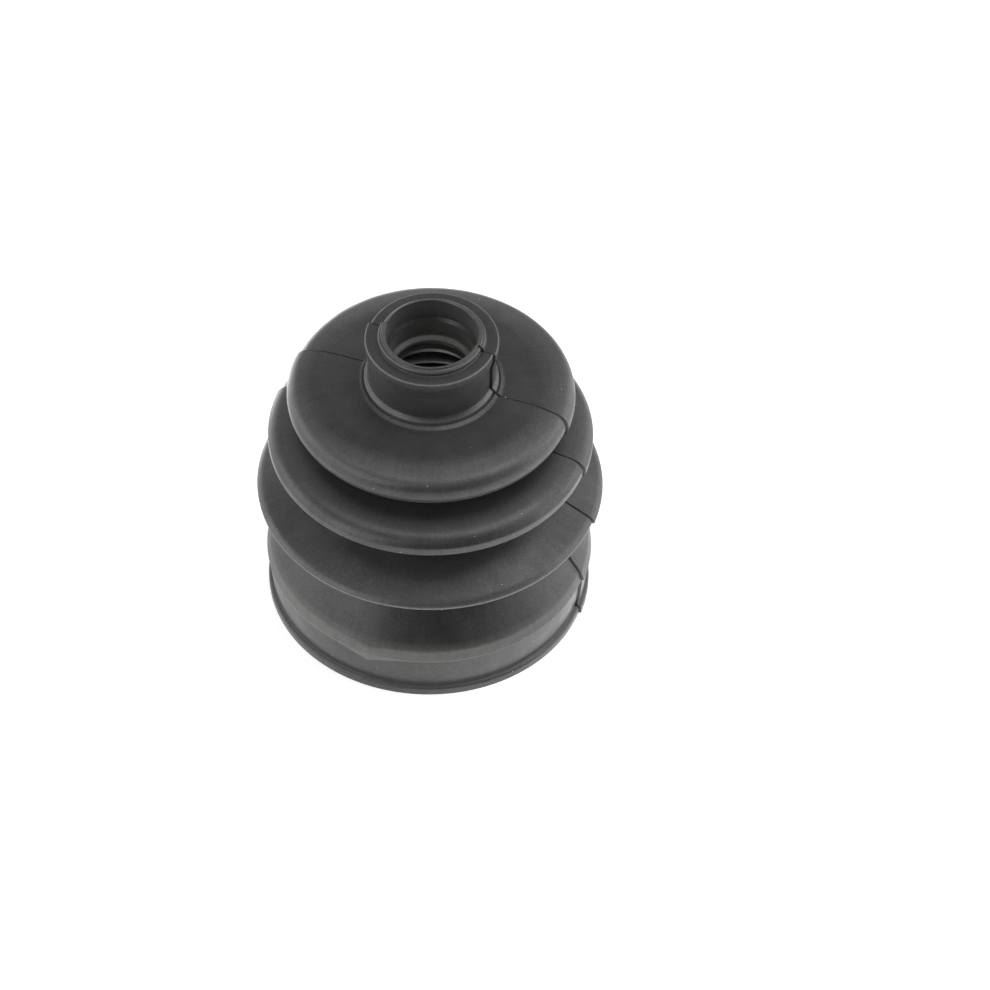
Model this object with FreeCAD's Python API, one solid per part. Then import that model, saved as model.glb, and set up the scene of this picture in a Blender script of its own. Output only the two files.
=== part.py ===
import FreeCAD, Part
import math
import os

# Rubber bellows boot for a drive-shaft joint, one moulding.
# Millimetres, +Z up along the shaft. The origin is the centre of the large end's resting face.
# The mould parts in the XZ plane, and the outside of its two halves meets a little out of line.

# Wall of the folds, and how far each mould half is out of line along X
wall = 2.4
half_shift = 0.3

# Large end: the clamp seat, with a lip and groove below it and a land above it
large_seat_radius = 39.75
large_seat_width = 9.2
large_end_wall = 3.35
lip_proud = 0.25
lip_height = 2.2
groove_depth = 0.75
groove_width = 1.1
land_proud = 0.5
land_taper = 0.8
land_height = 2.85
land_round = 1.6

# The land's pointed tongue, which reaches down over the clamp seat
tongue_angle = -92.4
tongue_depth = 2.5
tongue_half_width = 11.9

# Large fold: a wide shoulder that ends in a sharp edge, and the root between it and the skirt cone
skirt_cone_height = 12.6
skirt_root_depth = 10.6
skirt_root_round = 1.6
large_fold_radius = 42.2
large_fold_round = 3.0
large_fold_rise = 5.75
large_edge_round = 0.7
large_edge_angle = 28.0
large_inside_backing = 2.4
large_inside_rise = 1.35

# Middle fold: a wide shoulder, an upright band below it, and the root under the fold
large_root_depth = 14.6
large_root_round = 1.7
large_root_rise = 10.65
middle_fold_radius = 39.2
middle_fold_round = 5.0
middle_fold_rise = 5.95
middle_band_angle = 30.0
middle_band_height = 1.25
middle_band_top_round = 0.8
middle_band_round = 1.2
middle_inside_backing = 0.7
middle_inside_rise = 1.8

# Small fold, with a rounded shoulder and a flat top, and the root below it
small_root_depth = 18.8
small_root_round = 1.5
small_root_rise = 8.65
small_fold_radius = 34.4
small_fold_round = 3.9
small_fold_rise = 6.55
shoulder_round = 13.0
shoulder_inset = 9.2
shoulder_rise = 4.95

# Neck: clamp seat, foot ring with a chamfer, low outer ring, rim, and the collar round the mouth
small_seat_radius = 15.0
small_seat_width = 6.85
foot_ring_proud = 0.9
foot_ring_height = 1.15
foot_chamfer = 0.85
foot_gap = 0.5
foot_spread = 0.85
foot_height = 0.65
foot_groove_depth = 0.3
rim_proud = 0.65
rim_taper = 2.6
rim_height = 2.2
rim_round = 3.0
collar_wall = 1.6
collar_height = 1.8
collar_ring_wall = 0.8
collar_ring_height = 0.45
collar_slope = 0.2

# Inside of the neck: mouth, grip on the shaft, two sealing ribs, and the lower flare
neck_wall = 4.0
mouth_depth = 5.4
grip_depth = 0.85
grip_length = 4.6
grip_step = 0.9
rib_depth = 1.05
rib_width = 0.7
rib_slope = 0.7
rib_underside = 0.3
recess_depth = 0.45
recess_width = 0.9
lower_rib_slope = 0.4
lower_rib_width = 1.7
flare_depth = 0.4

# Small roundings and chamfers of the mould
edge_round = 0.35
fine_round = 0.2
mouth_chamfer = 0.3
crest_inside_round = 0.7

# Radii that follow from the seats and folds
large_bore_radius = large_seat_radius - large_end_wall
lip_radius = large_seat_radius + lip_proud
groove_radius = large_seat_radius - groove_depth
land_radius = large_seat_radius + land_proud
land_top_radius = land_radius - land_taper
skirt_root_radius = large_fold_radius - skirt_root_depth
large_root_radius = large_fold_radius - large_root_depth
small_root_radius = middle_fold_radius - small_root_depth
shoulder_radius = small_fold_radius - shoulder_inset
foot_ring_radius = small_seat_radius + foot_ring_proud
foot_crest_radius = foot_ring_radius + foot_gap
foot_radius = foot_crest_radius + foot_spread
rim_radius = small_seat_radius + rim_proud
mouth_radius = small_seat_radius - neck_wall
collar_radius = mouth_radius + collar_wall
collar_ring_radius = mouth_radius + collar_ring_wall
grip_radius = mouth_radius - grip_depth
rib_radius = grip_radius - rib_depth
recess_radius = grip_radius + recess_depth
flare_radius = mouth_radius + flare_depth

# Heights of the stations, stacked from the resting face upwards
seat_bottom = lip_height + groove_width
seat_top = seat_bottom + large_seat_width
land_top = seat_top + land_height
skirt_root_z = land_top + skirt_cone_height
large_fold_z = skirt_root_z + large_fold_rise
large_root_z = large_fold_z + large_root_rise
middle_fold_z = large_root_z + middle_fold_rise
small_root_z = middle_fold_z + small_root_rise
small_fold_z = small_root_z + small_fold_rise
shoulder_z = small_fold_z + shoulder_rise
foot_z = shoulder_z + foot_height
foot_ring_z = shoulder_z + foot_ring_height
small_seat_z = foot_ring_z + foot_chamfer
rim_z = small_seat_z + small_seat_width
rim_top = rim_z + rim_taper + rim_height
neck_top = rim_top + collar_height


def point(radius, height):
    return FreeCAD.Vector(radius, 0, height)


def turned_left(vector):
    return FreeCAD.Vector(-vector.z, 0, vector.x)


# A round is a circle that the outline wraps: its centre, its radius, and its side.
# Side 1 bends the outline to the left, -1 to the right, and a radius of 0 is a sharp point.
def sharp(radius, height):
    return (point(radius, height), 0.0, 1)


def bend(radius, height, size, side):
    return (point(radius, height), size, side)


def rounded(before, corner, after, size):
    """Round of the given size that touches both lines of a corner of the outline."""
    back = (before - corner).normalize()
    ahead = (after - corner).normalize()
    middle = (back + ahead).normalize()
    sine = math.sin(back.getAngle(ahead) / 2)
    side = 1 if turned_left(back).dot(ahead) < 0 else -1
    return (corner + middle * (size / sine), size, side)


def polyline(corners):
    """Rounds for a run of corners (radius, height, rounding). The first and last stay sharp."""
    spots = [point(radius, height) for radius, height, size in corners]
    rounds = [(spots[0], 0.0, 1)]
    for i in range(1, len(corners) - 1):
        size = corners[i][2]
        rounds.append(rounded(spots[i - 1], spots[i], spots[i + 1], size) if size else (spots[i], 0.0, 1))
    rounds.append((spots[-1], 0.0, 1))
    return rounds


def tangent_line(first, second):
    """Ends of the straight line that leaves one round and runs onto the next.

    Where one round meets the other from inside, the line has no length."""
    centre_a, size_a, side_a = first
    centre_b, size_b, side_b = second
    gap = centre_b - centre_a
    offset = side_b * size_b - side_a * size_a
    square = gap.dot(gap) - offset * offset
    length = math.sqrt(square) if square > 1e-9 else 0.0
    direction = (gap * length - turned_left(gap) * offset) * (1.0 / gap.dot(gap))
    normal = turned_left(direction)
    return centre_a - normal * (side_a * size_a), centre_b - normal * (side_b * size_b), normal


def outline(rounds):
    """Closed wire that wraps the rounds in order with tangent lines and arcs."""
    count = len(rounds)
    lines = [tangent_line(rounds[i], rounds[(i + 1) % count]) for i in range(count)]
    edges = []
    for i in range(count):
        centre, size, side = rounds[i]
        arrive = lines[i - 1][1]
        leave = lines[i][0]
        if size > 0 and (leave - arrive).Length > 1e-6:
            middle = (lines[i - 1][2] + lines[i][2]).normalize()
            edges.append(Part.Arc(arrive, centre - middle * (side * size), leave).toShape())
        if (lines[i][1] - leave).Length > 1e-6:
            edges.append(Part.makeLine(leave, lines[i][1]))
    return Part.Wire(edges)


def turned(rounds, start, angle):
    """Solid of revolution about Z from an outline in the XZ plane."""
    face = Part.Face(outline(rounds))
    solid = face.revolve(FreeCAD.Vector(0, 0, 0), FreeCAD.Vector(0, 0, 1), angle)
    solid.rotate(FreeCAD.Vector(0, 0, 0), FreeCAD.Vector(0, 0, 1), start)
    return solid


def skirt_outside():
    """Lip, groove, clamp seat and land of the large end, from the bottom up."""
    seat_edge = point(large_seat_radius, seat_top)
    land_edge = point(land_radius, seat_top)
    land_end = point(land_top_radius, land_top)
    cone_end = tangent_line((land_end, 0.0, 1), skirt_root())[1]
    return polyline([
        (0, 0, 0),
        (lip_radius, 0, fine_round),
        (lip_radius, lip_height, 2 * edge_round),
        (groove_radius, lip_height + groove_width / 3, edge_round),
        (groove_radius, seat_bottom, 4 * groove_width),
        (large_seat_radius, seat_bottom + large_seat_width / 2, 6 * large_seat_width),
        (large_seat_radius, seat_top, 0),
    ]) + [
        rounded(seat_edge, land_edge, land_end, fine_round),
        rounded(land_edge, land_end, cone_end, land_round),
    ]


def skirt_root():
    """Round of the deep root between the skirt cone and the large fold."""
    return bend(skirt_root_radius + skirt_root_round, skirt_root_z, skirt_root_round, -1)


def shoulder_from(edge, edge_size, size, angle):
    """Wide round that meets a smaller one from inside, where the surface leans at the angle."""
    inset = size - edge_size
    turn = math.radians(angle)
    return bend(edge.x - inset * math.cos(turn), edge.z - inset * math.sin(turn), size, 1)


def large_crest():
    """Sharp edge and shoulder of the large fold."""
    rise = (large_fold_round - large_edge_round) * math.sin(math.radians(large_edge_angle))
    edge = point(large_fold_radius - large_edge_round, large_fold_z + rise)
    return [
        (edge, large_edge_round, 1),
        shoulder_from(edge, large_edge_round, large_fold_round, large_edge_angle),
    ]


def middle_crest():
    """Upright band and shoulder of the middle fold."""
    inset = middle_fold_round - middle_band_top_round
    rise = inset * math.sin(math.radians(middle_band_angle))
    band_top = point(middle_fold_radius - middle_band_top_round, middle_fold_z + rise)
    return [
        bend(middle_fold_radius - middle_band_round, band_top.z - middle_band_height, middle_band_round, 1),
        (band_top, middle_band_top_round, 1),
        shoulder_from(band_top, middle_band_top_round, middle_fold_round, middle_band_angle),
    ]


def folds_outside():
    """Crests and roots of the three folds, from the skirt up to the shoulder."""
    large_root = bend(large_root_radius + large_root_round, large_root_z, large_root_round, -1)
    small_root = bend(small_root_radius + small_root_round, small_root_z, small_root_round, -1)
    return [skirt_root()] + large_crest() + [large_root] + middle_crest() + [
        small_root,
        bend(small_fold_radius - small_fold_round, small_fold_z, small_fold_round, 1),
        bend(shoulder_radius, shoulder_z - shoulder_round, shoulder_round, 1),
    ]


def neck_outside():
    """Foot rings, clamp seat, rim and collar of the small end, up to the axis."""
    return polyline([
        (foot_radius, shoulder_z, 0),
        (foot_crest_radius, foot_z, edge_round),
        (foot_ring_radius, foot_z - foot_groove_depth, fine_round / 2),
        (foot_ring_radius, foot_ring_z, fine_round),
        (small_seat_radius, small_seat_z, edge_round),
        (small_seat_radius, rim_z, rim_round),
        (rim_radius, rim_z + rim_taper, rim_round),
        (rim_radius, rim_top, fine_round),
        (collar_radius, rim_top, fine_round),
        (collar_radius, neck_top - collar_ring_height - collar_slope, 2 * edge_round),
        (collar_ring_radius, neck_top - collar_ring_height, fine_round),
        (collar_ring_radius, neck_top, fine_round),
        (0, neck_top, 0),
    ])


def tongue():
    """Pointed tongue of the land, between two arcs that meet at its tip."""
    reach = tongue_half_width
    arc_radius = (reach ** 2 + tongue_depth ** 2) / (2 * tongue_depth)
    half_angle = math.asin(reach / arc_radius) / 2
    across = arc_radius * math.sin(half_angle)
    drop = arc_radius * (1 - math.cos(half_angle))

    def prism(height):
        # The arcs start level at both ends and fall towards the tip
        left = FreeCAD.Vector(0, -reach, height)
        right = FreeCAD.Vector(0, reach, height)
        tip = FreeCAD.Vector(0, 0, height - tongue_depth)
        edges = [
            Part.Arc(left, FreeCAD.Vector(0, across - reach, height - drop), tip).toShape(),
            Part.Arc(tip, FreeCAD.Vector(0, reach - across, height - drop), right).toShape(),
            Part.makeLine(right, left),
        ]
        return Part.Face(Part.Wire(edges)).extrude(FreeCAD.Vector(2 * lip_radius, 0, 0))

    # Below the land the tongue fills the seat, and above it the skirt cone runs on to a corner
    foot, top, normal = tangent_line(sharp(land_top_radius, land_top), skirt_root())
    cone_slope = (top.z - foot.z) / (foot.x - top.x)
    corner_z = land_top - (land_radius - land_top_radius) * cone_slope
    inside = large_bore_radius + wall / 2
    body = Part.Face(Part.makePolygon([
        point(inside, seat_top - 2 * tongue_depth),
        point(land_radius, seat_top - 2 * tongue_depth),
        point(land_radius, corner_z),
        point(land_top_radius, land_top),
        point(inside, land_top),
        point(inside, seat_top - 2 * tongue_depth),
    ])).revolve(FreeCAD.Vector(0, 0, 0), FreeCAD.Vector(0, 0, 1), 90)
    body.rotate(FreeCAD.Vector(0, 0, 0), FreeCAD.Vector(0, 0, 1), -45)
    low = body.common(prism(seat_top))
    high = body.common(prism(land_top))
    pieces = low.fuse(high)
    pieces.rotate(FreeCAD.Vector(0, 0, 0), FreeCAD.Vector(0, 0, 1), tongue_angle)
    return pieces


def outside():
    """Both mould halves of the outer form, each moved half_shift along X, as one solid."""
    rounds = skirt_outside() + folds_outside() + neck_outside()
    near = turned(rounds, 180, 180).fuse(tongue())
    far = turned(rounds, 0, 180)
    near.translate(FreeCAD.Vector(-half_shift, 0, 0))
    far.translate(FreeCAD.Vector(half_shift, 0, 0))
    return near.fuse(far)


def cavity():
    """Space inside, left by the core: large bore, folds at wall thickness, and the neck."""
    below = -wall
    above = neck_top + wall
    skirt = polyline([
        (0, below, 0),
        (large_bore_radius + edge_round - below, below, 0),
        (large_bore_radius, edge_round, 0),
        (large_bore_radius, land_top, 2 * wall),
        (skirt_root_radius - wall, skirt_root_z, 0),
    ])[:-1]
    inner_round = crest_inside_round
    large_crest_radius = large_fold_radius - wall - inner_round - large_inside_backing
    middle_crest_radius = middle_fold_radius - wall - inner_round - middle_inside_backing
    folds = [
        bend(skirt_root_radius + skirt_root_round, skirt_root_z, skirt_root_round + wall, -1),
        bend(large_crest_radius, large_fold_z + large_inside_rise, inner_round, 1),
        bend(large_root_radius + large_root_round, large_root_z, large_root_round + wall, -1),
        bend(middle_crest_radius, middle_fold_z + middle_inside_rise, inner_round, 1),
        bend(small_root_radius + small_root_round, small_root_z, small_root_round + wall, -1),
        bend(small_fold_radius - wall - 2 * inner_round, small_fold_z, 2 * inner_round, 1),
        bend(shoulder_radius, shoulder_z - shoulder_round, shoulder_round - wall, 1),
    ]
    ceiling = shoulder_z - wall
    grip_top = neck_top - mouth_depth - grip_step
    rib_top = grip_top - grip_length - rib_slope
    rib_bottom = rib_top - rib_width
    recess_top = rib_bottom - rib_underside
    recess_bottom = recess_top - recess_width
    lower_rib_top = recess_bottom - lower_rib_slope
    neck = polyline([
        (flare_radius + wall / 2, ceiling, 0),
        (flare_radius, ceiling, fine_round),
        (grip_radius, lower_rib_top - lower_rib_width, edge_round),
        (grip_radius, lower_rib_top, edge_round),
        (recess_radius, recess_bottom, edge_round),
        (recess_radius, recess_top, edge_round),
        (rib_radius, rib_bottom, edge_round),
        (rib_radius, rib_top, edge_round),
        (grip_radius, rib_top + rib_slope, edge_round),
        (grip_radius, grip_top, edge_round),
        (mouth_radius, grip_top + grip_step, edge_round),
        (mouth_radius, neck_top - mouth_chamfer, 0),
        (mouth_radius + mouth_chamfer + wall, above, 0),
        (0, above, 0),
    ])
    return turned(skirt + folds + neck, 0, 360)


os.makedirs("parts", exist_ok=True)
boot = outside().cut(cavity())
boot.exportStep("parts/bellows_boot.step")
box = boot.BoundBox
print("bellows_boot solids", len(boot.Solids), "valid", boot.isValid(), "volume cm3", round(boot.Volume / 1000, 2))
print("size", round(box.XLength, 2), round(box.YLength, 2), round(box.ZLength, 2), "faces", len(boot.Faces))
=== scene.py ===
import math

import bpy
import numpy as np
from mathutils import Matrix, Vector


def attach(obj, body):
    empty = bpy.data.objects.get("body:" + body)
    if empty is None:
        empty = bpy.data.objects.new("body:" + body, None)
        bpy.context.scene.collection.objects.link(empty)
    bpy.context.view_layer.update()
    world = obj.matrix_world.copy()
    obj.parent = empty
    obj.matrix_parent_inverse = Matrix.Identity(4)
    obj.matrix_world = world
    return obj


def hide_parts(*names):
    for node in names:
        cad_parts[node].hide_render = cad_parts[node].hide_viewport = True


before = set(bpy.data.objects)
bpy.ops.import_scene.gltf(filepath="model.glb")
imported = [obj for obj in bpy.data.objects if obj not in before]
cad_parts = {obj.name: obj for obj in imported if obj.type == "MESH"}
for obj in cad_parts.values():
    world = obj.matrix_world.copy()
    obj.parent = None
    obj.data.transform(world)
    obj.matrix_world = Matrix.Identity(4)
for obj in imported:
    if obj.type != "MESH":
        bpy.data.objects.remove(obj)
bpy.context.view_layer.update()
MM = 0.001


# Rubber boot: one closed moulded skin of black rubber, drawn in millimetres as radius + height * 1j.
# The outline wraps a chain of rounds with tangent lines, goes up the outside and comes down the inside.
# The two mould halves of the outside are out of line along X, and meet in a fine crack at the parting line.
def bend(radius, height, size, side):
    """A round of the chain: its centre, its size, and 1 for a crest or -1 for a root."""
    return (complex(radius, height), size, side)


def rounded(before, corner, after, size):
    """Round of the given size that touches both lines of a corner."""
    back = (before - corner) / abs(before - corner)
    ahead = (after - corner) / abs(after - corner)
    middle = (back + ahead) / abs(back + ahead)
    turn = (ahead / -back).imag
    sine = abs(math.sin(math.atan2((ahead / back).imag, (ahead / back).real) / 2))
    return (corner + middle * size / sine, size, 1 if turn > 0 else -1)


def polyline(corners):
    """Rounds for a run of corners (radius, height, rounding). The first and last stay sharp."""
    spots = [complex(radius, height) for radius, height, size in corners]
    rounds = [(spots[0], 0.0, 1)]
    for i in range(1, len(corners) - 1):
        size = corners[i][2]
        rounds.append(rounded(spots[i - 1], spots[i], spots[i + 1], size) if size else (spots[i], 0.0, 1))
    return rounds + [(spots[-1], 0.0, 1)]


def tangent(first, second):
    """Both ends of the line from one round to the next, and its normal."""
    (centre_a, size_a, side_a), (centre_b, size_b, side_b) = first, second
    gap = centre_b - centre_a
    offset = side_b * size_b - side_a * size_a
    along = (gap * math.sqrt(max(abs(gap) ** 2 - offset ** 2, 0)) - 1j * gap * offset) / abs(gap) ** 2
    normal = 1j * along
    return centre_a - normal * side_a * size_a, centre_b - normal * side_b * size_b, normal


def wrap(rounds, step, sag):
    """Points of the outline round the chain. Arcs keep within sag of the true curve.
    Lines are cut at step, with one more point near each end, where the shading and the chalk change."""
    near_end, no_length = 0.3, 1e-6
    lines = [tangent(a, b) for a, b in zip(rounds, rounds[1:])]
    points = [lines[0][0]]
    arc_start = lines[0][0]
    for i, (start, end, normal) in enumerate(lines):
        if i:
            centre, size = rounds[i][:2]
            turn = np.angle(normal / lines[i - 1][2])
            pieces = max(1, math.ceil(abs(turn) / math.sqrt(8 * sag / size))) if size else 0
            for k in range(1, pieces + 1):
                points.append(centre + (arc_start - centre) * np.exp(1j * turn * k / pieces))
        length = abs(end - start)
        if length > no_length:
            cuts = [1.0]
            if length > 4 * near_end:
                between = length - 2 * near_end
                pieces = max(1, round(between / step))
                cuts = [(near_end + between * k / pieces) / length for k in range(pieces + 1)] + cuts
            points += [start + (end - start) * cut for cut in cuts]
        arc_start = end
    return np.array(points)


seat_bottom, seat_top, land_top = 3.3, 12.5, 15.35
seat_radius = 39.75
land_low, land_high = complex(40.25, seat_top), complex(39.45, land_top)
skirt_root = bend(33.2, 27.95, 1.6, -1)
cone_foot = tangent((land_high, 0.0, 1), skirt_root)[1]

skirt = polyline([
    (36.75, 0, 0),
    (40.0, 0, 0.2),
    (40.0, 2.2, 0.7),
    (39.0, 2.57, 0.35),
    (39.0, seat_bottom, 4.4),
    (seat_radius, 7.9, 55.2),
    (seat_radius, seat_top, 0),
])
land = [
    rounded(complex(seat_radius, seat_top), land_low, land_high, 0.15),
    rounded(land_low, land_high, cone_foot, 1.6),
]
large_fold = [
    skirt_root,
    bend(41.5, 34.78, 0.7, 1),
    bend(39.469, 33.7, 3.0, 1),
    bend(29.3, 44.35, 1.7, -1),
]
middle_fold = [
    bend(38.0, 51.15, 1.2, 1),
    bend(38.4, 52.4, 0.8, 1),
    bend(34.763, 50.3, 5.0, 1),
    bend(21.9, 58.95, 1.5, -1),
]
small_fold = [
    bend(30.5, 65.5, 3.9, 1),
    bend(25.2, 57.45, 13.0, 1),
]
neck = polyline([
    (17.25, 70.45, 0),
    (16.4, 71.1, 0.35),
    (15.9, 70.8, 0.1),
    (15.9, 71.6, 0.2),
    (15.0, 72.45, 0.35),
    (15.0, 79.3, 3.0),
    (15.65, 81.9, 3.0),
    (15.65, 84.1, 0.2),
    (12.6, 84.1, 0.2),
    (12.6, 85.25, 0.7),
    (11.8, 85.45, 0.2),
    (11.8, 85.9, 0.2),
    (11.3, 85.9, 0),
])
inside_neck = polyline([
    (11.3, 85.9, 0),
    (11.0, 85.6, 0.1),
    (11.0, 80.5, 0.35),
    (10.15, 79.6, 0.35),
    (10.15, 75.0, 0.35),
    (9.1, 74.3, 0.35),
    (9.1, 73.6, 0.35),
    (10.6, 73.3, 0.35),
    (10.6, 72.4, 0.35),
    (10.15, 72.0, 0.35),
    (10.15, 70.3, 0.35),
    (11.4, 68.05, 0.2),
    (12.6, 68.05, 0),
])
inside_folds = [
    bend(25.2, 57.45, 10.6, -1),
    bend(30.6, 65.5, 1.4, -1),
    bend(21.9, 58.95, 3.9, 1),
    bend(35.4, 52.1, 0.7, -1),
    bend(29.3, 44.35, 4.1, 1),
    bend(36.7, 35.05, 0.7, -1),
    bend(33.2, 27.95, 4.0, 1),
]
inside_skirt = polyline([
    (29.2, 27.95, 0),
    (36.4, 15.35, 4.8),
    (36.4, 0.35, 0.1),
    (36.75, 0, 0),
])[1:]

outer = wrap(skirt + land + large_fold + middle_fold + small_fold + neck, step=2.0, sag=0.015)
inner = wrap(inside_neck + inside_folds + inside_skirt, step=4.0, sag=0.03)[1:-1]
outline = np.concatenate([outer, inner])
outside = np.arange(len(outline)) < len(outer)
along = np.roll(outline, -1) - np.roll(outline, 1)
out_of_wall = -1j * along / np.abs(along)

# How pale each point of the outline is painted, chalk bloom and painted light together: the skirt by
# height, fading down the seat to the groove as painted shade, then painted highlights along the edges and
# fold shoulders, each given by its spot, how far it reaches and its amount.
skirt_inside, edge_spread = 38.5, 1.5
skirt_heights = (0.0, 2.45, 2.6, 3.3, 5.5, 8.5, 12.4, 12.6, 15.4, 16.2)
skirt_chalk_and_light = (0.2, 0.2, 0.0, 0.0, 0.0, 0.06, 0.14, 0.66, 0.66, 0.0)
on_skirt = outside & (outline.real > skirt_inside)
chalk_and_painted_light = np.where(on_skirt, np.interp(outline.imag, skirt_heights, skirt_chalk_and_light), 0.0)
# Painted highlights: pale lines on the land's lower edge, the large fold's edge, the neck's rim and foot,
# and broad pale bands on the fold shoulders
for edge, reach, amount in (
    (land_low, 0.25, 0.9),
    (complex(42.05, 34.45), 0.55, 0.95),
    (complex(41.5, 35.8), 1.0, 0.17),
    (complex(34.9, 55.4), 1.9, 0.26),
    (complex(31.6, 69.2), 2.2, 0.17),
    (complex(15.65, 84.1), 0.2, 0.8),
    (complex(12.6, 85.2), 0.3, 0.3),
    (complex(11.3, 85.9), 0.3, 0.3),
    (complex(15.9, 71.6), 0.5, 0.34),
    (complex(16.4, 71.1), 0.4, 0.05),
):
    chalk_and_painted_light += amount * np.clip(edge_spread - np.abs(outline - edge) / reach, 0, 1)

# Painted light inside the neck and down in the folds, where the lamps barely reach, by height, up to the
# mouth
mouth_height = 85.3
inside_heights = (
    0.0, 56.0, 57.5, 59.0, 62.0, 68.0, 70.4, 72.0, 72.1,
    73.2, 73.6, 75.2, 75.4, 79.3, 79.6, 80.6, 80.9, 85.0,
)
inside_painted_light = (
    0.3, 0.2, 0.3, 1.0, 1.0, 0.4, 0.3, 0.5, 1.0,
    0.3, 0.5, 0.85, 0.42, 0.38, 0.05, 0.05, 0.25, 0.25,
)
painted_inside = ~outside & (outline.imag <= mouth_height)
chalk_and_painted_light = np.where(painted_inside, np.interp(outline.imag, inside_heights, inside_painted_light), chalk_and_painted_light)

# The land reaches down over the seat in one pointed tongue, between two arcs that meet at its tip.
# The seat above its lowest part gives way to it, and the land's upper edge comes down the cone a little.
tongue_azimuth, tongue_depth, tongue_reach = math.radians(-92.4), 2.5, 11.9
tongue_arc = (tongue_reach ** 2 + tongue_depth ** 2) / (2 * tongue_depth)
upper_drop = 1.02
cone_run = (land_high - cone_foot) / abs(land_high - cone_foot)
seat_fixed = seat_bottom + 1.0
low_edge_reach, high_edge_reach, hair = 0.4, 1.0, 0.001


def with_tongue(azimuth):
    """The outline at an azimuth, with the land's lower edge pulled down where the tongue is."""
    away = abs(land_low.real * math.sin(azimuth - tongue_azimuth))
    if away > tongue_reach or math.cos(azimuth - tongue_azimuth) < 0:
        return outline
    dip = tongue_arc - math.sqrt(tongue_arc ** 2 - (tongue_reach - away) ** 2)
    moved = outline.copy()
    seat = outside & (outline.imag > seat_fixed) & (outline.imag < seat_top + hair)
    moved[seat] -= 1j * dip * (outline[seat].imag - seat_fixed) / (seat_top - seat_fixed)
    low = outside & (np.abs(outline - land_low) < low_edge_reach) & ~seat
    moved[low] -= 1j * dip
    high = outside & (np.abs(outline - land_high) < high_edge_reach) & ~low
    moved[high] += cone_run * upper_drop * dip / tongue_depth
    return moved


# The boot's outline at an azimuth or beside a parting line becomes one ring of points. The mould halves
# are shifted to the right behind and to the left in front.
half_shift = 0.3


def plain_ring(azimuth):
    """Points of the boot at an azimuth."""
    line = with_tongue(azimuth)
    shift = np.where(outside, math.copysign(half_shift, math.sin(azimuth)), 0)
    return np.stack([line.real * math.cos(azimuth) + shift, line.real * math.sin(azimuth), line.imag], -1)


def crack_ring(side, offset, depth):
    """Points beside the parting line on one side (1 right, -1 left), sunk into the wall by depth."""
    line = outline - np.where(outside, depth, 0) * out_of_wall
    shift = np.where(outside, math.copysign(half_shift, offset), 0)
    across = side * np.sqrt(line.real ** 2 - offset ** 2) + shift
    return np.stack([across, np.full(len(line), offset), line.imag], -1)


def kept_skirt_paint(rightward, behind):
    """Share of the skirt's pale paint that is kept: little behind, and less towards the sides in front, as
    painted shade on those sides.
    """
    kept_behind, side_fade, right_fade = 0.3, 0.35, 0.8
    if behind:
        return kept_behind
    return 1 - side_fade * max(abs(rightward) - 0.4, 0) - right_fade * max(rightward - 0.5, 0)


# Rings all the way round: four at each parting line, with no chalk down in the crack, where it stays black,
# bare rubber and painted shade together, then plain ones, which are closer together along the tongue. Each
# side's crack has a half width and a depth of its own.
crack_floor, parting_gap, tongue_gap = 0.03, 0.012, 0.02
tongue_turn = math.asin(tongue_reach / land_low.real)
tongue_start = 2 * math.pi + tongue_azimuth - tongue_turn
tongue_end = tongue_start + 2 * tongue_turn
rings, ring_paint_share = [], []
for side, crack_half, crack_depth, spans in (
    (1, 0.16, 0.24, [(parting_gap, math.pi - parting_gap, 122)]),
    (-1, 0.15, 0.45, [
        (math.pi + parting_gap, tongue_start - tongue_gap, 50),
        (tongue_start, tongue_end, 49),
        (tongue_end + tongue_gap, 2 * math.pi - parting_gap, 50),
    ]),
):
    for offset, depth in (
        (-crack_half, 0),
        (-crack_floor, crack_depth),
        (crack_floor, crack_depth),
        (crack_half, 0),
    ):
        rings.append(crack_ring(side, side * offset, depth))
        ring_paint_share.append(0 if depth else kept_skirt_paint(side, side * offset > 0))
    for first, last, number in spans:
        for azimuth in np.linspace(first, last, number):
            rings.append(plain_ring(azimuth))
            ring_paint_share.append(kept_skirt_paint(math.cos(azimuth), math.sin(azimuth) > 0))

skirt_top, count = 16.3, len(outline)
chalk_and_light_values = [chalk_and_painted_light * np.where(outline.imag < skirt_top, kept, 1.0) for kept in ring_paint_share]
faces = []
for i in range(len(rings)):
    here, beyond = i * count, (i + 1) % len(rings) * count
    for j in range(count):
        k = (j + 1) % count
        faces.append((here + j, beyond + j, beyond + k, here + k))

boot_mesh = bpy.data.meshes.new("bellows_boot_skin")
boot_mesh.from_pydata((np.concatenate(rings) * MM).tolist(), [], faces)
boot_mesh.validate()
boot_mesh.shade_smooth()
boot_mesh.set_sharp_from_angle(angle=math.radians(38))
# Per point paleness: chalk bloom together with painted highlights, painted shade and painted light
boot_mesh.attributes.new("chalk_and_painted_light", "FLOAT", "POINT").data.foreach_set("value", np.concatenate(chalk_and_light_values))
boot = bpy.data.objects.new("bellows_boot_skin", boot_mesh)
bpy.context.scene.collection.objects.link(boot)
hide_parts("bellows_boot")
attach(boot, "root")


# Its finish: black rubber with a fine matt grain and soft gloss, and a pale chalky colour on the land,
# seat, lip and edges, which is chalk bloom and painted light together. The small functions that come first
# each build one step of a material.
def feed(tree, socket, value):
    """Link another node's value in, or set a plain one."""
    if isinstance(value, bpy.types.NodeSocket):
        tree.links.new(value, socket)
    else:
        socket.default_value = value


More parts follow.
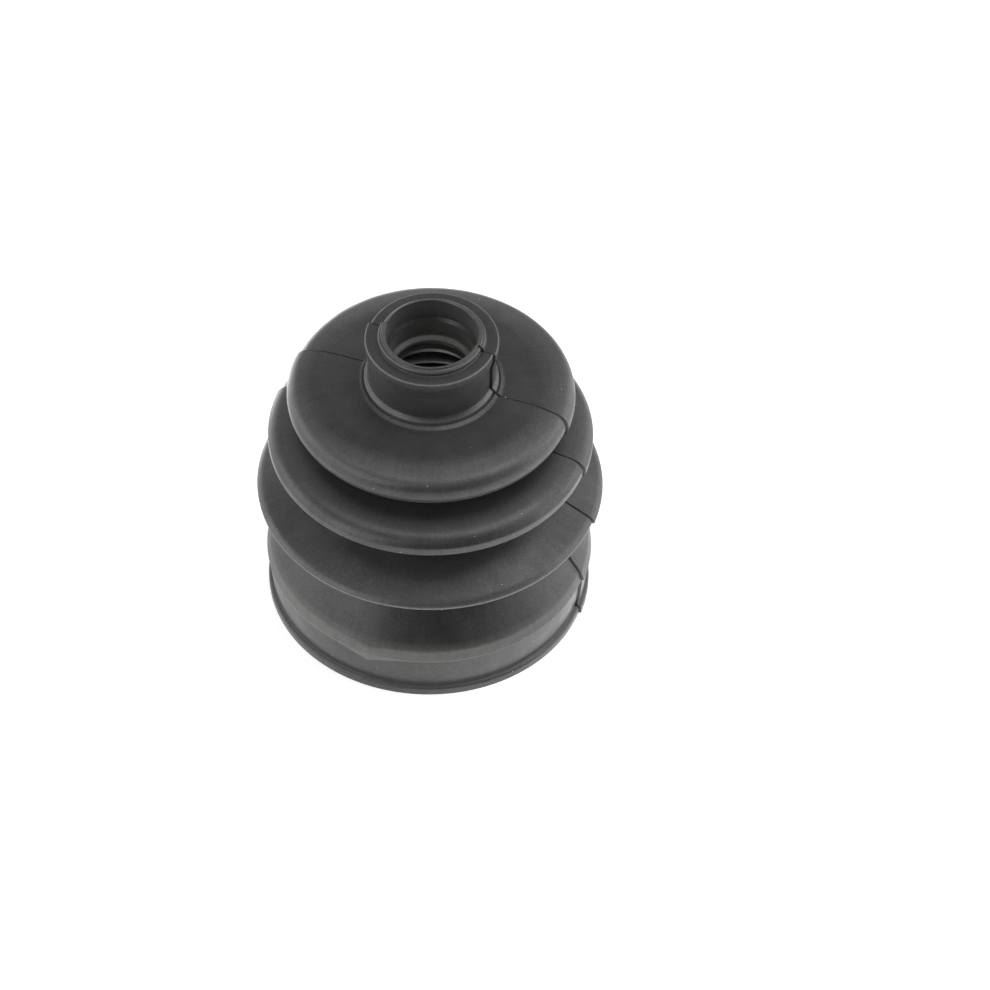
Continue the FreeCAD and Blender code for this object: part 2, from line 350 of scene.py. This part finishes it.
def noise(tree, position, scale, detail, roughness=0.5):
    """Cloudy greys, finer as the scale grows."""
    node = tree.nodes.new("ShaderNodeTexNoise")
    node.inputs["Scale"].default_value = scale
    node.inputs["Detail"].default_value = detail
    node.inputs["Roughness"].default_value = roughness
    tree.links.new(position, node.inputs["Vector"])
    return node.outputs["Fac"]


def ramp(tree, value, *stops):
    """A colour ramp, from stops of a position and a grey or a colour."""
    node = tree.nodes.new("ShaderNodeValToRGB")
    while len(node.color_ramp.elements) < len(stops):
        node.color_ramp.elements.new(0.5)
    for element, (position, shade) in zip(node.color_ramp.elements, stops):
        element.position = position
        element.color = (*shade, 1) if isinstance(shade, tuple) else (shade, shade, shade, 1)
    tree.links.new(value, node.inputs["Fac"])
    return node.outputs["Color"]


def mix(tree, factor, first, second, blend="MIX"):
    """Two colours or greys mixed by a factor."""
    node = tree.nodes.new("ShaderNodeMix")
    node.data_type = "RGBA"
    node.blend_type = blend
    for socket, value in ((node.inputs[0], factor), (node.inputs[6], first), (node.inputs[7], second)):
        feed(tree, socket, value)
    return node.outputs[2]


def calculate(tree, operation, *values):
    """The result of one operation on plain values or on other nodes' values."""
    node = tree.nodes.new("ShaderNodeMath")
    node.operation = operation
    for socket, value in zip(node.inputs, values):
        feed(tree, socket, value)
    return node.outputs[0]


def bearing(tree, position):
    """The angle round the boot's axis, and the height, of a position."""
    split = tree.nodes.new("ShaderNodeSeparateXYZ")
    tree.links.new(position, split.inputs[0])
    return calculate(tree, "ARCTAN2", split.outputs["Y"], split.outputs["X"]), split.outputs["Z"]


rubber = bpy.data.materials.new("moulded_rubber")
rubber.use_nodes = True
tree = rubber.node_tree
shader = tree.nodes["Principled BSDF"]
place = tree.nodes.new("ShaderNodeTexCoord").outputs["Object"]

# Streaks that run from the neck outwards and down, as the rubber flowed and was pulled off the mould
angle, height = bearing(tree, place)
unrolled = tree.nodes.new("ShaderNodeCombineXYZ")
tree.links.new(angle, unrolled.inputs["X"])
tree.links.new(height, unrolled.inputs["Y"])
stretched = tree.nodes.new("ShaderNodeVectorMath")
stretched.operation = "MULTIPLY"
stretched.inputs[1].default_value = (34, 90, 1)
tree.links.new(unrolled.outputs[0], stretched.inputs[0])
streaks = noise(tree, stretched.outputs[0], scale=1.0, detail=4)

# Colour: black, paler where the chalk attribute paints chalk bloom and painted light, all a little mottled
flecks = noise(tree, place, scale=2400, detail=2, roughness=0.6)
black = ramp(tree, noise(tree, place, scale=60, detail=4), (0.35, 0.026), (0.65, 0.033))
bloom_and_light_tone = ramp(
    tree, noise(tree, place, scale=420, detail=5, roughness=0.6),
    (0.3, (0.147, 0.148, 0.142)), (0.7, (0.183, 0.184, 0.176)),
)
chalk_and_light_weight = tree.nodes.new("ShaderNodeAttribute")
chalk_and_light_weight.attribute_name = "chalk_and_painted_light"
colour = mix(tree, chalk_and_light_weight.outputs["Fac"], black, bloom_and_light_tone)
streak_shade = ramp(tree, streaks, (0.3, 0.84), (0.7, 1.0))
fleck_shade = ramp(tree, flecks, (0.35, 0.8), (0.65, 1.0))
mottle = mix(tree, 0.5, streak_shade, fleck_shade)
tree.links.new(mix(tree, 1.0, colour, mottle, "MULTIPLY"), shader.inputs["Base Color"])

# Gloss: uneven over the black rubber, duller where the chalk attribute is high, on chalk bloom and painted
# light alike
gloss = ramp(tree, noise(tree, place, scale=130, detail=5, roughness=0.6), (0.3, 0.29), (0.7, 0.44))
dull = (0.5, 0.5, 0.5, 1)
tree.links.new(mix(tree, chalk_and_light_weight.outputs["Fac"], gloss, dull), shader.inputs["Roughness"])
blotches = noise(tree, place, scale=240, detail=4, roughness=0.6)
streak_shine = ramp(tree, streaks, (0.3, 0.4), (0.7, 0.58))
blotch_shine = ramp(tree, blotches, (0.3, 0.34), (0.7, 0.64))
fleck_shine = ramp(tree, flecks, (0.35, 0.28), (0.65, 0.74))
shine = mix(tree, 0.4, mix(tree, 0.5, streak_shine, blotch_shine), fleck_shine)
tree.links.new(shine, shader.inputs["Specular IOR Level"])
shader.inputs["Sheen Weight"].default_value = 0.08
shader.inputs["Sheen Roughness"].default_value = 0.45

# Grain: the mould's fine matt texture
grain = tree.nodes.new("ShaderNodeBump")
grain.inputs["Strength"].default_value = 0.3
grain.inputs["Distance"].default_value = 0.04 * MM
tree.links.new(noise(tree, place, scale=3200, detail=3), grain.inputs["Height"])
tree.links.new(grain.outputs["Normal"], shader.inputs["Normal"])
boot_mesh.materials.append(rubber)


# Dust: small pale grains and lint that stick to the boot after handling, half sunk in its surface.
# Each is an eight-sided crumb with its own spot on the rubber and its reach, in millimetres.
dust_spots = (
    (2.0, 30.1, 69.6, 0.2),
    (18.7, 0.1, 70.4, 0.24),
    (30.2, 8.0, 69.4, 0.16),
    (10.0, -31.5, 68.3, 0.18),
    (16.1, -18.2, 70.5, 0.11),
    (21.6, -30.7, 54.3, 0.14),
    (29.6, -25.3, 52.3, 0.2),
    (30.0, -20.6, 54.9, 0.15),
    (29.2, -21.8, 54.7, 0.12),
    (37.7, -11.7, 36.9, 0.12),
    (37.1, -13.2, 37.0, 0.14),
    (28.0, -28.3, 36.8, 0.15),
    (32.4, -23.1, 13.2, 0.18),
    (28.8, -27.5, 13.3, 0.18),
    (30.6, -25.3, 2.0, 0.14),
    (36.1, -16.6, 1.3, 0.17),
    (16.4, -38.7, 34.5, 0.2),
    (-26.3, -30.0, 11.4, 0.2),
    (-12.2, -37.3, 4.6, 0.15),
    (-11.5, -38.4, 1.0, 0.13),
    (-20.1, -34.8, 13.4, 0.15),
    (-10.0, -38.6, 14.0, 0.15),
    (0.4, -39.6, 7.5, 0.1),
    (9.3, -38.3, 6.9, 0.12),
    (5.9, -38.7, 51.1, 0.2),
    (-2.4, -34.3, 65.9, 0.16),
    (-29.1, -29.1, 36.3, 0.12),
)
crumb_corners = ((1, 0, 0), (0, 1, 0), (0, 0, 1), (-1, 0, 0), (0, -1, 0), (0, 0, -1))
crumb_faces = ((0, 1, 2), (1, 3, 2), (3, 4, 2), (4, 0, 2), (1, 0, 5), (3, 1, 5), (4, 3, 5), (0, 4, 5))
dust_points, dust_faces = [], []
for x, y, z, size in dust_spots:
    first = len(dust_points)
    for a, b, c in crumb_corners:
        dust_points.append(((x + a * size) * MM, (y + b * size) * MM, (z + c * size) * MM))
    dust_faces += [tuple(first + corner for corner in face) for face in crumb_faces]
dust_mesh = bpy.data.meshes.new("dust")
dust_mesh.from_pydata(dust_points, [], dust_faces)
dust_mesh.shade_smooth()
dust = bpy.data.objects.new("dust", dust_mesh)
bpy.context.scene.collection.objects.link(dust)
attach(dust, "root")
lint = bpy.data.materials.new("pale_lint")
lint.use_nodes = True
lint_shader = lint.node_tree.nodes["Principled BSDF"]
lint_shader.inputs["Base Color"].default_value = (0.5, 0.5, 0.48, 1)
lint_shader.inputs["Roughness"].default_value = 0.9
dust_mesh.materials.append(lint)


# Table: one sheet of white paper that the boot stands on. The camera sees it white but for the boot's soft
# shadow, and for glossy rays it glows, a painted reflection that the rubber mirrors more strongly on some
# sides than on others.
def graded(tree, value, start, end, low=0.0, high=1.0):
    """Changes evenly from low to high while the value goes from start to end."""
    node = tree.nodes.new("ShaderNodeMapRange")
    for name, amount in (("From Min", start), ("From Max", end), ("To Min", low), ("To Max", high)):
        node.inputs[name].default_value = amount
    tree.links.new(value, node.inputs["Value"])
    return node.outputs["Result"]


table_half, table_drop = 6.0, 0.05 * MM
table_sides = ((-1, -1), (1, -1), (1, 1), (-1, 1))
table_mesh = bpy.data.meshes.new("table")
table_corners = [(x * table_half, y * table_half, -table_drop) for x, y in table_sides]
table_mesh.from_pydata(table_corners, [], [(0, 1, 2, 3)])
table = bpy.data.objects.new("table", table_mesh)
bpy.context.scene.collection.objects.link(table)
white = bpy.data.materials.new("white_table")
white.use_nodes = True
tree = white.node_tree
paper = tree.nodes["Principled BSDF"]
paper.inputs["Base Color"].default_value = (0.86, 0.86, 0.86, 1)
paper.inputs["Roughness"].default_value = 0.9
paper.inputs["Specular IOR Level"].default_value = 0.0
path = tree.nodes.new("ShaderNodeLightPath")
spot = tree.nodes.new("ShaderNodeTexCoord").outputs["Object"]
from_boot = tree.nodes.new("ShaderNodeVectorMath")
from_boot.operation = "LENGTH"
tree.links.new(spot, from_boot.inputs[0])

# Seen by the camera: half white near the boot, for the shadow, and full white far off, in metres
whiteness = graded(tree, from_boot.outputs["Value"], start=0.15, end=0.7, low=0.5)
seen_white = calculate(tree, "MULTIPLY", path.outputs["Is Camera Ray"], whiteness)

# Painted reflection, mirrored by the rubber: a glow only glossy rays see, set every eighth of a turn round
# the boot, and less of it under the boot
reflection_glow_strength = 4.0
reflection_glow_by_turn = (0.05, 0.18, 0.14, 0.27, 0.3, 0.18, 0.05, 0.9, 0.05)
turn_share = graded(tree, bearing(tree, spot)[0], start=-math.pi, end=math.pi)
round_table = ramp(tree, turn_share, *((i / 8, share) for i, share in enumerate(reflection_glow_by_turn)))
beside_boot = graded(tree, from_boot.outputs["Value"], start=36 * MM, end=38 * MM, low=0.4)
reflection_glow = calculate(tree, "MULTIPLY", round_table, beside_boot)
mirrored = calculate(tree, "MULTIPLY", path.outputs["Is Glossy Ray"], reflection_glow)
glow = tree.nodes.new("ShaderNodeEmission")
feed(tree, glow.inputs["Strength"], calculate(tree, "MULTIPLY_ADD", mirrored, reflection_glow_strength, seen_white))
together = tree.nodes.new("ShaderNodeAddShader")
tree.links.new(paper.outputs[0], together.inputs[0])
tree.links.new(glow.outputs[0], together.inputs[1])
tree.links.new(together.outputs[0], tree.nodes["Material Output"].inputs["Surface"])
table_mesh.materials.append(white)


# Studio: a surround that is white where the camera sees it and gives no light of its own,
# and soft square lamps on stands all round the boot, brighter on the right and the left than in front.
world = bpy.data.worlds.new("studio")
bpy.context.scene.world = world
world.use_nodes = True
tree = world.node_tree
unlit = tree.nodes["Background"]
seen = tree.nodes.new("ShaderNodeBackground")
for background, strength in ((unlit, 0.0), (seen, 1.0)):
    background.inputs["Color"].default_value = (1, 1, 1, 1)
    background.inputs["Strength"].default_value = strength
path = tree.nodes.new("ShaderNodeLightPath")
choose = tree.nodes.new("ShaderNodeMixShader")
tree.links.new(path.outputs["Is Camera Ray"], choose.inputs[0])
tree.links.new(unlit.outputs[0], choose.inputs[1])
tree.links.new(seen.outputs[0], choose.inputs[2])
tree.links.new(choose.outputs[0], tree.nodes["World Output"].inputs["Surface"])

# Lamps: by azimuth and height in degrees and power in watts
lamp_target = Vector((0, 0, 0.045))
lamp_reach, lamp_size = 0.95, 0.55
for name, azimuth, lamp_height, power in (
    ("lamp_right_low", 17.3, 10, 1.75),
    ("lamp_right", 17.3, 28, 1.55),
    ("lamp_right_high", 17.3, 50, 1.45),
    ("lamp_right_top", 17.3, 72, 2.5),
    ("lamp_back_right_low", 47.3, 10, 2.3),
    ("lamp_back_right", 62.3, 28, 0.9),
    ("lamp_back_right_high", 62.3, 50, 0.6),
    ("lamp_back", 107.3, 28, 1),
    ("lamp_back_left_low", 137.3, 10, 0.6),
    ("lamp_back_left_high", 152.3, 50, 0.2),
    ("lamp_left_back_low", 167.3, 10, 1.3),
    ("lamp_left_low", -162.7, 10, 1.85),
    ("lamp_left", -162.7, 28, 1.3),
    ("lamp_left_top", -162.7, 72, 1.6),
    ("lamp_front_left_low", -132.7, 10, 1.2),
    ("lamp_front_left", -117.7, 28, 2.6),
    ("lamp_front", -72.7, 55, 0.6),
    ("lamp_front_right_low", -12.7, 10, 0.7),
):
    around, up = math.radians(azimuth), math.radians(lamp_height)
    towards = Vector((math.cos(around) * math.cos(up), math.sin(around) * math.cos(up), math.sin(up)))
    lamp_data = bpy.data.lights.new(name, "AREA")
    lamp_data.shape = "SQUARE"
    lamp_data.size = lamp_size
    lamp_data.energy = power
    lamp = bpy.data.objects.new(name, lamp_data)
    lamp.location = lamp_target + towards * lamp_reach
    lamp.rotation_mode = "QUATERNION"
    lamp.rotation_quaternion = towards.to_track_quat("Z", "Y")
    bpy.context.scene.collection.objects.link(lamp)

# Camera: the photograph's view of the boot from in front, turned 17.3 degrees and 47.6 degrees up,
# with a long lens a metre away. The boot stands left of the picture's middle.
frame_size, middle = 990, 495
focal = 4000.0
view_azimuth, view_height, view_roll = math.radians(17.3), math.radians(47.616), math.radians(1.737)
distance = 1009.423
origin_across, origin_down = 428.941, 572.68
level = Vector((math.cos(view_azimuth), math.sin(view_azimuth), 0))
inward = Vector((-math.sin(view_azimuth), math.cos(view_azimuth), 0))
forward = inward * math.cos(view_height) - Vector((0, 0, math.sin(view_height)))
upward = inward * math.sin(view_height) + Vector((0, 0, math.cos(view_height)))
right = level * math.cos(view_roll) + upward * math.sin(view_roll)
top = upward * math.cos(view_roll) - level * math.sin(view_roll)
shift_across = (origin_across - middle) / focal * distance
shift_up = (middle - origin_down) / focal * distance
camera_data = bpy.data.cameras.new("camera")
camera_data.sensor_width = 36.0
camera_data.lens = focal / frame_size * camera_data.sensor_width
camera_data.clip_start, camera_data.clip_end = 0.01, 50.0
camera = bpy.data.objects.new("camera", camera_data)
bpy.context.scene.collection.objects.link(camera)
turn = Matrix((right, top, -forward)).transposed().to_4x4()
stand = (right * -shift_across - top * shift_up - forward * distance) * MM
camera.matrix_world = Matrix.Translation(stand) @ turn
bpy.context.scene.camera = camera

bpy.context.scene.view_settings.view_transform = "Standard"
